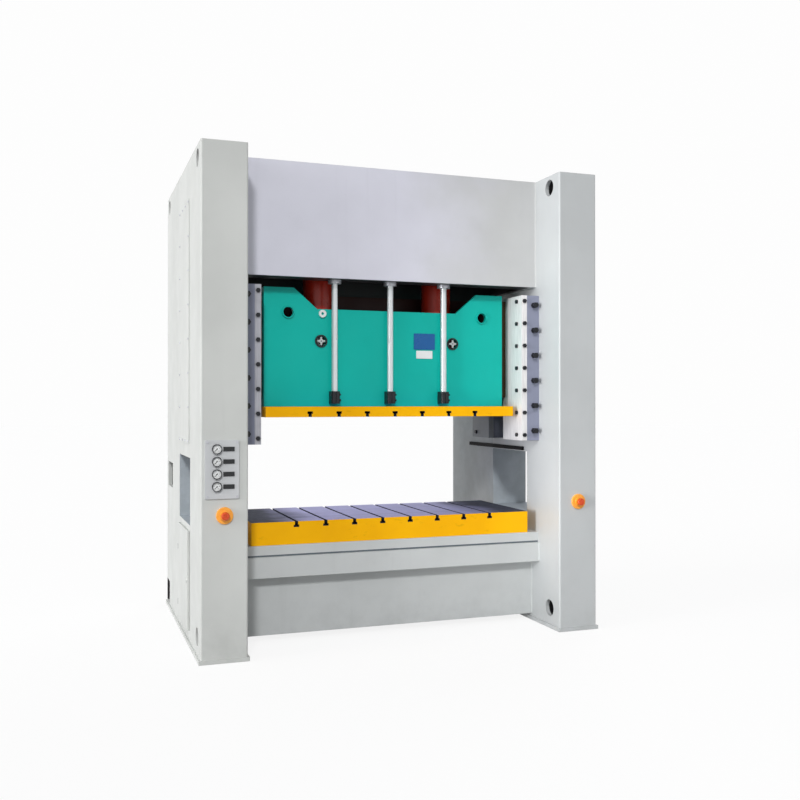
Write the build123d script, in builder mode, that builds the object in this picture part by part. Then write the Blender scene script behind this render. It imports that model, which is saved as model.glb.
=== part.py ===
from build123d import *
import os

# Straight-side gantry hydraulic press. Sizes in millimetres.
# X runs across the press, Y from front to back, Z up from the floor.

os.makedirs("parts", exist_ok=True)

# T-slots: their pitch and count set the widths of the tables
slot_pitch = 200
bolster_slot_count = 8
plate_slot_count = 7
slot_end_margin = 300
slot_neck = 22
slot_head = 37
slot_head_height = 16
slot_depth = 38

# Heights, stacked from the floor
table_height = 800
bolster_height = 150
daylight = 685
slide_plate_height = 70
slide_body_height = 807
crown_gap = 55
crown_height = 763

# Depths, front to back
front_post_depth = 480
side_gap_depth = 580
rear_post_depth = 820
press_line_back = 720
bolster_depth = 800
slide_plate_depth = 740
slide_depth = 448
crown_depth = 750

# Clearances and shared allowances
bolster_side_gap = 80
plate_side_gap = 41
running_fit = 0.05
bolt_gap = 0.3
cut_over = 5

# Uprights
upright_width = 290
upright_wall = 30
post_edge_radius = 12
foot_lip = 10
foot_height = 25
window_below_table = 20
window_above_table = 420
lifting_hole_radius = 57
lifting_sleeve_wall = 12
lifting_hole_back = 142
lifting_hole_up = 138
lifting_hole_down = 84
service_opening_depth = 300
service_opening_height = 185
service_opening_up = 940
corner_notch_depth = 180
corner_notch_height = 170
corner_notch_up = 30

# Side doors, covers and drip lips
door_margin = 30
door_opening_margin = 60
door_thickness = 12
door_stand_off = 2
door_foot_gap = 90
door_head_gap = 40
knob_radius = 17
knob_height = 5
knob_inset = 45
knuckle_radius = 6.5
knuckle_height = 40
hinge_pin_radius = 4
hinge_pin_fit = 0.1
hinge_play = 0.5
hinge_inset = 110
hinge_offset = 14
hinge_web = 5
hinge_leaf_length = 26
cover_thickness = 6
cover_margin = 40
cover_opening_margin = 80
cover_foot_gap = 90
cover_head_gap = 260
lip_reach = 14
lip_height = 28
lip_below_guide = 55
lip_start_back = 530
lip_length = 960

# Crown
crown_wall = 40
crown_floor = 50
crown_recess = 260
crown_ledge = 40
crown_ledge_depth = 124
crown_skirt = 90
crown_roof = 40
crown_rib = 30
crown_rib_shares = (-0.65, -0.19, 0.19, 0.65)

# Bed
bed_lift = 45
bed_wall = 40
bed_strip_height = 73
bed_flange_height = 135
bed_strip_depth = 812
bed_flange_depth = 860
bed_box_depth = 628
bed_rib = 40
bed_rib_shares = (-0.34, 0, 0.34)

# Guides between frame and slide
guide_reach = 139
guide_strip_width = 42
guide_depth = 300
guide_below_plate = 175
guide_top_drop = 12
shoe_thickness = 58
shoe_depth = 60
shoe_set_back = 58
shoe_margin = 65
shoe_top_gap = 32
lug_depth = 212
lug_liner = 20
lug_wall = 30
lug_side_gap = 20
lug_liner_inset = 8
screw_rows = 6
adjuster_share = 0.46
adjuster_radius = 12
adjuster_flats = 36
adjuster_nut = 18
adjuster_stem = 10
adjuster_head = 16
adjuster_sink = 40
adjuster_end_gap = 70
bolt_rows = 7
bolt_radius = 8
bolt_flats = 27
bolt_head = 12
bolt_sink = 16
bolt_end_gap = 40
bolt_face_back = 71

# Slide
slide_wall = 30
slide_floor = 40
slide_deck = 40
slide_deck_share = 0.36
slide_low_drop = 140
slide_flat_share = 0.766
slide_low_share = 0.583
slide_rib = 30
slide_rib_shares = (-0.51, 0, 0.51)
upper_hole_share = 0.812
upper_hole_drop = 167
upper_hole_radius = 35
collar_radius = 43
collar_height = 12
lower_hole_share = 0.552
lower_hole_drop = 359
lower_hole_radius = 36
cover_rim = 7
cover_bar = 12
cover_hub_radius = 15
cover_height = 10
fitting_share = 0.542
fitting_drop = 172
fitting_radius = 26
fitting_bore = 10
fitting_height = 16
blue_plate_share = 0.307
blue_plate_drop = 347
blue_plate_width = 160
blue_plate_tall = 114
white_plate_drop = 440
white_plate_width = 122
white_plate_tall = 56
face_plate_height = 5

# Drive cylinders and return rods
cylinder_share = 0.51
barrel_radius = 106
barrel_neck_radius = 88
barrel_drop = 227
barrel_top_gap = 60
barrel_cap = 60
ring_nut_radius = 130
ring_nut_height = 60
ram_radius = 65
ram_top_gap = 120
ram_flange_radius = 120
ram_flange_height = 40
rod_spacing = 402
rod_radius = 21
rod_front_gap = 21
rod_run_up = 560
rod_bore_gap = 4
rod_top_chamfer = 4
gland_radius = 46
gland_height = 24
clamp_width = 58
clamp_front = 16
clamp_height = 84
clamp_rise = 20
clamp_edge = 6
clamp_slit = 4
clamp_bolt_radius = 4
clamp_bolt_flats = 13
clamp_bolt_head = 6
clamp_bolt_level_shares = (0.27, 0.73)

# Gauge panel on the left front post
panel_width = 208
panel_tall = 358
panel_height = 10
panel_up = 997
panel_radius = 8
panel_side_shift = 15
gauge_pitch = 76
gauge_first_up = 1072
gauge_count = 4
gauge_shift = 33
gauge_radius = 30
gauge_rim = 4
gauge_case_height = 18
gauge_back = 4
dial_height = 2
dial_gap = 0.2
pointer_lift = 1.5
pointer_height = 1
pointer_length = 20
pointer_tail = 7
pointer_width = 2.6
pointer_hub_radius = 3.6
pointer_pin_radius = 1.5
pointer_pin_length = 1.4
pointer_start_angle = 225
lens_height = 2
lens_sink = 1
label_width = 68
label_tall = 27
label_height = 5
label_shift = 40
panel_screw_radius = 6
panel_screw_height = 4
panel_screw_inset = 15

# Emergency stop buttons on the front posts
stop_up = 895
stop_base_radius = 52
stop_base_height = 14
stop_neck_radius = 30
stop_neck_height = 12
stop_stem_radius = 11
stop_stem_fit = 0.1
stop_stem_length = 20
stop_cap_radius = 25
stop_cap_height = 17
stop_cap_gap = 9
stop_cap_round = 7
stop_base_round = 4

# Positions that follow from the sizes above
bolster_width = (bolster_slot_count - 1) * slot_pitch + 2 * slot_end_margin
inner_span = bolster_width + 2 * bolster_side_gap
inner_half = inner_span / 2
outer_half = inner_half + upright_width
upright_x = inner_half + upright_width / 2
frame_depth = front_post_depth + side_gap_depth + rear_post_depth
stop_reach = stop_base_height + stop_neck_height + stop_cap_gap + stop_cap_height
front_y = -(frame_depth + foot_lip - stop_reach) / 2
press_y = front_y + press_line_back
front_post_y = front_y + front_post_depth / 2
gap_front_y = front_y + front_post_depth
gap_y = gap_front_y + side_gap_depth / 2
gap_rear_y = gap_front_y + side_gap_depth
rear_post_y = gap_rear_y + rear_post_depth / 2
rear_y = front_y + frame_depth

bed_top = table_height - bolster_height
plate_bottom = table_height + daylight
slide_bottom = plate_bottom + slide_plate_height
slide_top = slide_bottom + slide_body_height
slide_low = slide_top - slide_low_drop
crown_bottom = slide_top + crown_gap
overall_height = crown_bottom + crown_height
crown_floor_z = crown_bottom + crown_recess
crown_rear_y = press_y + crown_depth / 2
window_bottom = table_height - window_below_table
window_top = table_height + window_above_table
window_height = window_top - window_bottom

guide_face = inner_half - guide_reach
guide_strip_x = guide_face + guide_strip_width / 2
guide_block_width = guide_reach - guide_strip_width
guide_block_x = inner_half - guide_block_width / 2
guide_near = lug_depth / 2 + lug_liner + running_fit
guide_far = guide_near + guide_depth
guide_mid = guide_near + guide_depth / 2
guide_bottom = plate_bottom - guide_below_plate
guide_top = slide_top - guide_top_drop
guide_length = guide_top - guide_bottom
slide_half = guide_face - running_fit - shoe_thickness
shoe_x = slide_half + shoe_thickness / 2
shoe_mid = slide_depth / 2 - shoe_set_back - shoe_depth / 2
shoe_bottom = slide_bottom + shoe_margin
shoe_length = slide_body_height - shoe_margin - shoe_top_gap
lug_end = inner_half - lug_side_gap
slide_front_y = press_y - slide_depth / 2
plate_half = guide_face - plate_side_gap
deck_top = slide_bottom + slide_body_height * slide_deck_share
cylinder_x = slide_half * cylinder_share
rod_y = slide_front_y - rod_front_gap - rod_radius
rod_xs = (-rod_spacing, 0, rod_spacing)
clamp_bottom = slide_bottom + clamp_rise

corner = (Align.MIN, Align.MIN, Align.MIN)
upright = (Align.CENTER, Align.CENTER, Align.MIN)


# Right upright: two box posts on a foot plate, joined above and below a side window
with BuildPart() as right_upright:
    with BuildSketch(Plane.XY):
        with Locations((upright_x, front_y + frame_depth / 2)):
            RectangleRounded(upright_width, frame_depth, post_edge_radius)
    extrude(amount=overall_height)
    with BuildSketch(Plane.XY):
        with Locations((upright_x, front_y + frame_depth / 2)):
            Rectangle(upright_width + 2 * foot_lip, frame_depth + 2 * foot_lip)
    extrude(amount=foot_height)
    # Hollow posts
    with BuildSketch(Plane.XY.offset(foot_height)):
        with Locations((upright_x, front_post_y)):
            Rectangle(upright_width - 2 * upright_wall, front_post_depth - 2 * upright_wall)
        with Locations((upright_x, rear_post_y)):
            Rectangle(upright_width - 2 * upright_wall, rear_post_depth - 2 * upright_wall)
    extrude(amount=overall_height - foot_height - upright_wall, mode=Mode.SUBTRACT)
    # Hollow box below the window and hollow box above it
    with BuildSketch(Plane.XY.offset(foot_height)):
        with Locations((upright_x, gap_y)):
            Rectangle(upright_width - 2 * upright_wall, side_gap_depth)
    extrude(amount=window_bottom - upright_wall - foot_height, mode=Mode.SUBTRACT)
    with BuildSketch(Plane.XY.offset(window_top + upright_wall)):
        with Locations((upright_x, gap_y)):
            Rectangle(upright_width - 2 * upright_wall, side_gap_depth)
    extrude(amount=overall_height - window_top - 2 * upright_wall, mode=Mode.SUBTRACT)
    # Side window, straight through
    with BuildSketch(Plane.YZ.offset(inner_half - cut_over)):
        with Locations((gap_y, window_bottom + window_height / 2)):
            Rectangle(side_gap_depth, window_height)
    extrude(amount=upright_width + 2 * cut_over, mode=Mode.SUBTRACT)
    # Lifting sleeves from side wall to side wall of both posts, bored through
    lifting_points = (
        (front_y + lifting_hole_back, lifting_hole_up),
        (front_y + lifting_hole_back, overall_height - lifting_hole_down),
        (rear_y - lifting_hole_back, overall_height - lifting_hole_down),
    )
    with BuildSketch(Plane.YZ.offset(inner_half)):
        with Locations(*lifting_points):
            Circle(lifting_hole_radius + lifting_sleeve_wall)
    extrude(amount=upright_width)
    with BuildSketch(Plane.YZ.offset(inner_half - cut_over)):
        with Locations(*lifting_points):
            Circle(lifting_hole_radius)
    extrude(amount=upright_width + 2 * cut_over, mode=Mode.SUBTRACT)
    # Openings in the outer wall: behind the door, behind the cover, and for services
    with BuildSketch(Plane.YZ.offset(outer_half - upright_wall - cut_over)):
        with Locations((gap_front_y + door_opening_margin, door_foot_gap + door_opening_margin)):
            Rectangle(
                side_gap_depth - 2 * door_opening_margin,
                window_bottom - door_foot_gap - door_head_gap - 2 * door_opening_margin,
                align=(Align.MIN, Align.MIN),
            )
        with Locations((gap_front_y + cover_opening_margin, window_top + cover_foot_gap + cover_margin)):
            Rectangle(
                side_gap_depth - 2 * cover_opening_margin,
                overall_height - window_top - cover_foot_gap - cover_head_gap - 2 * cover_margin,
                align=(Align.MIN, Align.MIN),
            )
        with Locations((rear_y - service_opening_depth / 2 - cover_margin * 2, service_opening_up)):
            Rectangle(service_opening_depth, service_opening_height, align=(Align.CENTER, Align.MIN))
    extrude(amount=upright_wall + 2 * cut_over, mode=Mode.SUBTRACT)
    # Open corner low at the rear, where pipes leave the post
    with Locations((outer_half - upright_wall - cut_over, rear_y - corner_notch_depth, corner_notch_up)):
        Box(
            upright_wall + 2 * cut_over + foot_lip,
            corner_notch_depth + cut_over,
            corner_notch_height,
            align=corner,
            mode=Mode.SUBTRACT,
        )
right_upright.part.label = "right_upright"
export_step(right_upright.part, "parts/right_upright.step")

# Left upright, the mirror of the right one
with BuildPart() as left_upright:
    mirror(right_upright.part, about=Plane.YZ)
left_upright.part.label = "left_upright"
export_step(left_upright.part, "parts/left_upright.step")

# Crown: hollow box beam with a raised floor, a ledge for the rods and a deeper rear plate
with BuildPart() as crown:
    with BuildSketch(Plane.XY.offset(crown_bottom)):
        with Locations((0, press_y)):
            Rectangle(inner_span, crown_depth)
    extrude(amount=crown_height)
    with Locations((0, crown_rear_y, crown_bottom)):
        Box(2 * plate_half, crown_wall, crown_skirt, align=(Align.CENTER, Align.MAX, Align.MAX))
    # Closed bays above the floor
    with BuildSketch(Plane.XY.offset(crown_floor_z + crown_floor)):
        with Locations((0, press_y)):
            Rectangle(inner_span - 2 * crown_wall, crown_depth - 2 * crown_wall)
        with Locations(*[(inner_half * share, press_y) for share in crown_rib_shares]):
            Rectangle(crown_rib, crown_depth, mode=Mode.SUBTRACT)
    extrude(amount=crown_height - crown_recess - crown_floor - crown_roof, mode=Mode.SUBTRACT)
    # Open recess under the floor, with the ledge left standing along its front
    with BuildSketch(Plane.XY.offset(crown_bottom + crown_ledge)):
        with Locations((0, press_y)):
            Rectangle(inner_span - 2 * crown_wall, crown_depth - 2 * crown_wall)
    extrude(amount=crown_recess - crown_ledge, mode=Mode.SUBTRACT)
    with BuildSketch(Plane.XY.offset(crown_bottom)):
        with Locations((0, crown_rear_y - crown_wall)):
            Rectangle(
                inner_span - 2 * crown_wall,
                crown_depth - 2 * crown_wall - crown_ledge_depth,
                align=(Align.CENTER, Align.MAX),
            )
    extrude(amount=crown_ledge, mode=Mode.SUBTRACT)
    # Bores for the two cylinders in the floor, and for the three rods in ledge and floor
    with BuildSketch(Plane.XY.offset(crown_floor_z - cut_over)):
        with Locations((-cylinder_x, press_y), (cylinder_x, press_y)):
            Circle(barrel_neck_radius)
    extrude(amount=crown_floor + 2 * cut_over, mode=Mode.SUBTRACT)
    with BuildSketch(Plane.XY.offset(crown_bottom - cut_over)):
        with Locations(*[(x, rod_y) for x in rod_xs]):
            Circle(rod_radius + rod_bore_gap)
    extrude(amount=crown_recess + crown_floor + 2 * cut_over, mode=Mode.SUBTRACT)
crown.part.label = "crown"
export_step(crown.part, "parts/crown.step")

# Bed: ribbed box with a thick flange and a top strip that carries the bolster
bed_flange_bottom = bed_top - bed_strip_height - bed_flange_height
with BuildPart() as bed:
    with BuildSketch(Plane.XY.offset(bed_lift)):
        with Locations((0, press_y)):
            Rectangle(inner_span, bed_box_depth)
    extrude(amount=bed_flange_bottom - bed_lift)
    with BuildSketch(Plane.XY.offset(bed_flange_bottom)):
        with Locations((0, press_y)):
            Rectangle(inner_span, bed_flange_depth)
    extrude(amount=bed_flange_height)
    with BuildSketch(Plane.XY.offset(bed_flange_bottom + bed_flange_height)):
        with Locations((0, press_y)):
            Rectangle(inner_span, bed_strip_depth)
    extrude(amount=bed_strip_height)
    with BuildSketch(Plane.XY.offset(bed_lift - cut_over)):
        with Locations((0, press_y)):
            Rectangle(inner_span - 2 * bed_wall, bed_box_depth - 2 * bed_wall)
        with Locations(*[(inner_half * share, press_y) for share in bed_rib_shares]):
            Rectangle(bed_rib, bed_box_depth, mode=Mode.SUBTRACT)
    extrude(amount=bed_flange_bottom + bed_flange_height / 2 - bed_lift + cut_over, mode=Mode.SUBTRACT)
bed.part.label = "bed"
export_step(bed.part, "parts/bed.step")

# Bolster plate with T-slots from front to back
bolster_slot_xs = [(i - (bolster_slot_count - 1) / 2) * slot_pitch for i in range(bolster_slot_count)]
with BuildPart() as bolster_plate:
    with BuildSketch(Plane.XY.offset(bed_top)):
        with Locations((0, press_y)):
            Rectangle(bolster_width, bolster_depth)
    extrude(amount=bolster_height)
    with BuildSketch(Plane.XZ.offset(bolster_depth / 2 + cut_over - press_y)):
        with Locations(*[(x, table_height) for x in bolster_slot_xs]):
            Rectangle(slot_neck, 2 * slot_depth)
        with Locations(*[(x, table_height - slot_depth) for x in bolster_slot_xs]):
            Rectangle(slot_head, slot_head_height, align=(Align.CENTER, Align.MIN))
    extrude(amount=-(bolster_depth + 2 * cut_over), mode=Mode.SUBTRACT)
bolster_plate.part.label = "bolster_plate"
export_step(bolster_plate.part, "parts/bolster_plate.step")

# Guide blocks and strips at the four corners of the slide
adjuster_x = inner_half - guide_block_width * adjuster_share
adjuster_step = (guide_length - 2 * adjuster_end_gap) / (screw_rows - 1)
adjuster_zs = [guide_bottom + adjuster_end_gap + i * adjuster_step for i in range(screw_rows)]
bolt_step = (guide_length - 2 * bolt_end_gap) / (bolt_rows - 1)
bolt_zs = [guide_bottom + bolt_end_gap + i * bolt_step for i in range(bolt_rows)]

with BuildPart() as right_front_guide_block:
    with Locations((guide_block_x, press_y - guide_mid, guide_bottom)):
        Box(guide_block_width, guide_depth, guide_length, align=upright)
    with BuildSketch(Plane.XZ.offset(guide_far - press_y)):
        with Locations(*[(adjuster_x, z) for z in adjuster_zs]):
            Circle(adjuster_radius + bolt_gap)
    extrude(amount=-(adjuster_sink + cut_over), mode=Mode.SUBTRACT)
right_front_guide_block.part.label = "right_front_guide_block"
export_step(right_front_guide_block.part, "parts/right_front_guide_block.step")

with BuildPart() as right_rear_guide_block:
    mirror(right_front_guide_block.part, about=Plane.XZ.offset(-press_y))
right_rear_guide_block.part.label = "right_rear_guide_block"
export_step(right_rear_guide_block.part, "parts/right_rear_guide_block.step")

with BuildPart() as left_front_guide_block:
    mirror(right_front_guide_block.part, about=Plane.YZ)
left_front_guide_block.part.label = "left_front_guide_block"
export_step(left_front_guide_block.part, "parts/left_front_guide_block.step")

with BuildPart() as left_rear_guide_block:
    mirror(right_rear_guide_block.part, about=Plane.YZ)
left_rear_guide_block.part.label = "left_rear_guide_block"
export_step(left_rear_guide_block.part, "parts/left_rear_guide_block.step")

with BuildPart() as right_front_guide_strip:
    with Locations((guide_strip_x, press_y - guide_mid, guide_bottom)):
        Box(guide_strip_width, guide_depth, guide_length, align=upright)
    with BuildSketch(Plane.XZ.offset(guide_far - press_y)):
        with Locations(*[(guide_strip_x, z) for z in bolt_zs]):
            Circle(bolt_radius + bolt_gap)
    extrude(amount=-(bolt_sink + cut_over), mode=Mode.SUBTRACT)
    with BuildSketch(Plane.YZ.offset(guide_face)):
        with Locations(*[(press_y - guide_far + bolt_face_back, z) for z in bolt_zs]):
            Circle(bolt_radius + bolt_gap)
    extrude(amount=bolt_sink + cut_over, mode=Mode.SUBTRACT)
right_front_guide_strip.part.label = "right_front_guide_strip"
export_step(right_front_guide_strip.part, "parts/right_front_guide_strip.step")

with BuildPart() as right_rear_guide_strip:
    mirror(right_front_guide_strip.part, about=Plane.XZ.offset(-press_y))
right_rear_guide_strip.part.label = "right_rear_guide_strip"
export_step(right_rear_guide_strip.part, "parts/right_rear_guide_strip.step")

with BuildPart() as left_front_guide_strip:
    mirror(right_front_guide_strip.part, about=Plane.YZ)
left_front_guide_strip.part.label = "left_front_guide_strip"
export_step(left_front_guide_strip.part, "parts/left_front_guide_strip.step")

with BuildPart() as left_rear_guide_strip:
    mirror(right_rear_guide_strip.part, about=Plane.YZ)
left_rear_guide_strip.part.label = "left_rear_guide_strip"
export_step(left_rear_guide_strip.part, "parts/left_rear_guide_strip.step")

# Adjusting screws with lock nuts in the guide blocks, front and rear
guide_front_y = press_y - guide_far
with BuildPart() as guide_adjusters:
    with BuildSketch(Plane.XZ.offset(-guide_front_y)):
        with Locations(*[(adjuster_x, z) for z in adjuster_zs]):
            RegularPolygon(adjuster_flats / 2, 6, major_radius=False)
    extrude(amount=adjuster_nut)
    with BuildSketch(Plane.XZ.offset(-guide_front_y - adjuster_sink)):
        with Locations(*[(adjuster_x, z) for z in adjuster_zs]):
            Circle(adjuster_radius)
    extrude(amount=adjuster_sink + adjuster_nut + adjuster_stem)
    with BuildSketch(Plane.XZ.offset(adjuster_nut + adjuster_stem - guide_front_y)):
        with Locations(*[(adjuster_x, z) for z in adjuster_zs]):
            RegularPolygon(adjuster_flats / 2, 6, major_radius=False)
    extrude(amount=adjuster_head)
    mirror(about=Plane.XZ.offset(-press_y))
    mirror(about=Plane.YZ)
guide_adjusters.part.label = "guide_adjusters"
export_step(guide_adjusters.part, "parts/guide_adjusters.step")

# Hex bolts that hold the guide strips, in their end faces and their sliding faces
with BuildPart() as guide_bolts:
    with BuildSketch(Plane.XZ.offset(-guide_front_y)):
        with Locations(*[(guide_strip_x, z) for z in bolt_zs]):
            RegularPolygon(bolt_flats / 2, 6, major_radius=False)
    extrude(amount=bolt_head)
    with BuildSketch(Plane.XZ.offset(-guide_front_y)):
        with Locations(*[(guide_strip_x, z) for z in bolt_zs]):
            Circle(bolt_radius)
    extrude(amount=-bolt_sink)
    with BuildSketch(Plane.YZ.offset(guide_face)):
        with Locations(*[(guide_front_y + bolt_face_back, z) for z in bolt_zs]):
            RegularPolygon(bolt_flats / 2, 6, major_radius=False)
    extrude(amount=-bolt_head)
    with BuildSketch(Plane.YZ.offset(guide_face)):
        with Locations(*[(guide_front_y + bolt_face_back, z) for z in bolt_zs]):
            Circle(bolt_radius)
    extrude(amount=bolt_sink)
    mirror(about=Plane.XZ.offset(-press_y))
    mirror(about=Plane.YZ)
guide_bolts.part.label = "guide_bolts"
export_step(guide_bolts.part, "parts/guide_bolts.step")

# Slide: open-topped weldment, cut low in front, with a thrust deck inside and a guide lug on each side
slide_flat_x = slide_half * slide_flat_share
slide_low_x = slide_half * slide_low_share
lug_bottom = shoe_bottom
with BuildPart() as slide_frame:
    with BuildSketch(Plane.XZ.offset(-slide_front_y)):
        with BuildLine():
            Polyline(
                (-slide_half, slide_bottom),
                (slide_half, slide_bottom),
                (slide_half, slide_top),
                (slide_flat_x, slide_top),
                (slide_low_x, slide_low),
                (-slide_low_x, slide_low),
                (-slide_flat_x, slide_top),
                (-slide_half, slide_top),
                close=True,
            )
        make_face()
    extrude(amount=-slide_wall)
    with Locations((0, press_y + slide_depth / 2, slide_bottom)):
        Box(2 * slide_half, slide_wall, slide_body_height, align=(Align.CENTER, Align.MAX, Align.MIN))
    with Locations((0, press_y, slide_bottom)):
        Box(2 * slide_half, slide_depth, slide_floor, align=upright)
    with Locations((0, press_y, deck_top - slide_deck)):
        Box(2 * slide_half, slide_depth, slide_deck, align=upright)
    with Locations(*[(slide_half * share, press_y, slide_bottom) for share in slide_rib_shares]):
        Box(slide_rib, slide_depth, deck_top - slide_bottom - slide_deck, align=upright)
    side_plate_x = slide_half - slide_wall / 2
    with Locations((-side_plate_x, press_y, slide_bottom), (side_plate_x, press_y, slide_bottom)):
        Box(slide_wall, slide_depth, slide_body_height, align=upright)
    # Guide lugs, closed boxes welded to the side plates
    lug_x = (slide_half - slide_wall + lug_end) / 2
    lug_width = lug_end - slide_half + slide_wall
    with Locations((-lug_x, press_y, lug_bottom), (lug_x, press_y, lug_bottom)):
        Box(lug_width, lug_depth, shoe_length, align=upright)
    with Locations((-lug_x, press_y, lug_bottom + lug_wall), (lug_x, press_y, lug_bottom + lug_wall)):
        Box(
            lug_width - 2 * lug_wall,
            lug_depth - 2 * lug_wall,
            shoe_length - 2 * lug_wall,
            align=upright,
            mode=Mode.SUBTRACT,
        )
    # Holes through front and rear plates
    with BuildSketch(Plane.XZ.offset(cut_over - slide_front_y)):
        with Locations(
            (-slide_half * upper_hole_share, slide_top - upper_hole_drop),
            (slide_half * upper_hole_share, slide_top - upper_hole_drop),
        ):
            Circle(upper_hole_radius)
        with Locations(
            (-slide_half * lower_hole_share, slide_top - lower_hole_drop),
            (slide_half * lower_hole_share, slide_top - lower_hole_drop),
        ):
            Circle(lower_hole_radius)
    extrude(amount=-(slide_depth + 2 * cut_over), mode=Mode.SUBTRACT)
slide_frame.part.label = "slide_frame"
export_step(slide_frame.part, "parts/slide_frame.step")

# Slide plate with T-slots on its underside
plate_slot_xs = [(i - (plate_slot_count - 1) / 2) * slot_pitch for i in range(plate_slot_count)]
with BuildPart() as slide_plate:
    with BuildSketch(Plane.XY.offset(plate_bottom)):
        with Locations((0, press_y)):
            Rectangle(2 * plate_half, slide_plate_depth)
    extrude(amount=slide_plate_height)
    with BuildSketch(Plane.XZ.offset(slide_plate_depth / 2 + cut_over - press_y)):
        with Locations(*[(x, plate_bottom) for x in plate_slot_xs]):
            Rectangle(slot_neck, 2 * slot_depth)
        with Locations(*[(x, plate_bottom + slot_depth) for x in plate_slot_xs]):
            Rectangle(slot_head, slot_head_height, align=(Align.CENTER, Align.MAX))
    extrude(amount=-(slide_plate_depth + 2 * cut_over), mode=Mode.SUBTRACT)
slide_plate.part.label = "slide_plate"
export_step(slide_plate.part, "parts/slide_plate.step")

# Bronze shoes on the slide sides, running on the guide strips
with BuildPart() as right_guide_shoes:
    with Locations((shoe_x, press_y - shoe_mid, shoe_bottom), (shoe_x, press_y + shoe_mid, shoe_bottom)):
        Box(shoe_thickness, shoe_depth, shoe_length, align=upright)
right_guide_shoes.part.label = "right_guide_shoes"
export_step(right_guide_shoes.part, "parts/right_guide_shoes.step")

with BuildPart() as left_guide_shoes:
    mirror(right_guide_shoes.part, about=Plane.YZ)
left_guide_shoes.part.label = "left_guide_shoes"
export_step(left_guide_shoes.part, "parts/left_guide_shoes.step")

# Bronze liners on the lugs, running on the inner ends of the guides
liner_width = lug_end - guide_face - lug_liner_inset
with BuildPart() as right_lug_liners:
    with Locations(
        (guide_face, press_y - lug_depth / 2 - lug_liner, lug_bottom),
        (guide_face, press_y + lug_depth / 2, lug_bottom),
    ):
        Box(liner_width, lug_liner, shoe_length, align=corner)
right_lug_liners.part.label = "right_lug_liners"
export_step(right_lug_liners.part, "parts/right_lug_liners.step")

with BuildPart() as left_lug_liners:
    mirror(right_lug_liners.part, about=Plane.YZ)
left_lug_liners.part.label = "left_lug_liners"
export_step(left_lug_liners.part, "parts/left_lug_liners.step")

# Hydraulic cylinder barrels hung in the crown, with ring nuts above its floor
barrel_bottom = crown_bottom - barrel_drop
barrel_top = overall_height - barrel_top_gap
with BuildPart() as left_cylinder_barrel:
    with BuildSketch(Plane.XY.offset(barrel_bottom)):
        with Locations((-cylinder_x, press_y)):
            Circle(barrel_radius)
    extrude(amount=crown_floor_z - barrel_bottom)
    with BuildSketch(Plane.XY.offset(crown_floor_z)):
        with Locations((-cylinder_x, press_y)):
            Circle(barrel_neck_radius)
    extrude(amount=barrel_top - crown_floor_z)
    with BuildSketch(Plane.XY.offset(barrel_bottom - cut_over)):
        with Locations((-cylinder_x, press_y)):
            Circle(ram_radius + running_fit)
    extrude(amount=barrel_top - barrel_cap - barrel_bottom + cut_over, mode=Mode.SUBTRACT)
left_cylinder_barrel.part.label = "left_cylinder_barrel"
export_step(left_cylinder_barrel.part, "parts/left_cylinder_barrel.step")

with BuildPart() as right_cylinder_barrel:
    mirror(left_cylinder_barrel.part, about=Plane.YZ)
right_cylinder_barrel.part.label = "right_cylinder_barrel"
export_step(right_cylinder_barrel.part, "parts/right_cylinder_barrel.step")

with BuildPart() as cylinder_ring_nuts:
    with BuildSketch(Plane.XY.offset(crown_floor_z + crown_floor)):
        with Locations((-cylinder_x, press_y), (cylinder_x, press_y)):
            Circle(ring_nut_radius)
            Circle(barrel_neck_radius, mode=Mode.SUBTRACT)
    extrude(amount=ring_nut_height)
cylinder_ring_nuts.part.label = "cylinder_ring_nuts"
export_step(cylinder_ring_nuts.part, "parts/cylinder_ring_nuts.step")

# Rams, flanged to the thrust deck of the slide
ram_top = barrel_top - barrel_cap - ram_top_gap
with BuildPart() as left_ram:
    with BuildSketch(Plane.XY.offset(deck_top)):
        with Locations((-cylinder_x, press_y)):
            Circle(ram_flange_radius)
    extrude(amount=ram_flange_height)
    with BuildSketch(Plane.XY.offset(deck_top)):
        with Locations((-cylinder_x, press_y)):
            Circle(ram_radius)
    extrude(amount=ram_top - deck_top)
left_ram.part.label = "left_ram"
export_step(left_ram.part, "parts/left_ram.step")

with BuildPart() as right_ram:
    mirror(left_ram.part, about=Plane.YZ)
right_ram.part.label = "right_ram"
export_step(right_ram.part, "parts/right_ram.step")

# Gland rings under the ledge of the crown for the three rods
with BuildPart() as rod_glands:
    with BuildSketch(Plane.XY.offset(crown_bottom - gland_height)):
        with Locations(*[(x, rod_y) for x in rod_xs]):
            Circle(gland_radius)
            Circle(rod_radius + running_fit, mode=Mode.SUBTRACT)
    extrude(amount=gland_height)
rod_glands.part.label = "rod_glands"
export_step(rod_glands.part, "parts/rod_glands.step")

# Return rods, from the clamps low on the slide up into the crown
rod_length = crown_bottom + rod_run_up - clamp_bottom
with BuildPart() as left_return_rod:
    with Locations((-rod_spacing, rod_y, clamp_bottom)):
        Cylinder(rod_radius, rod_length, align=upright)
    chamfer(left_return_rod.faces().sort_by(Axis.Z)[-1].edges(), rod_top_chamfer)
left_return_rod.part.label = "left_return_rod"
export_step(left_return_rod.part, "parts/left_return_rod.step")

with BuildPart() as middle_return_rod:
    with Locations((0, rod_y, clamp_bottom)):
        Cylinder(rod_radius, rod_length, align=upright)
    chamfer(middle_return_rod.faces().sort_by(Axis.Z)[-1].edges(), rod_top_chamfer)
middle_return_rod.part.label = "middle_return_rod"
export_step(middle_return_rod.part, "parts/middle_return_rod.step")

with BuildPart() as right_return_rod:
    mirror(left_return_rod.part, about=Plane.YZ)
right_return_rod.part.label = "right_return_rod"
export_step(right_return_rod.part, "parts/right_return_rod.step")

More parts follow.
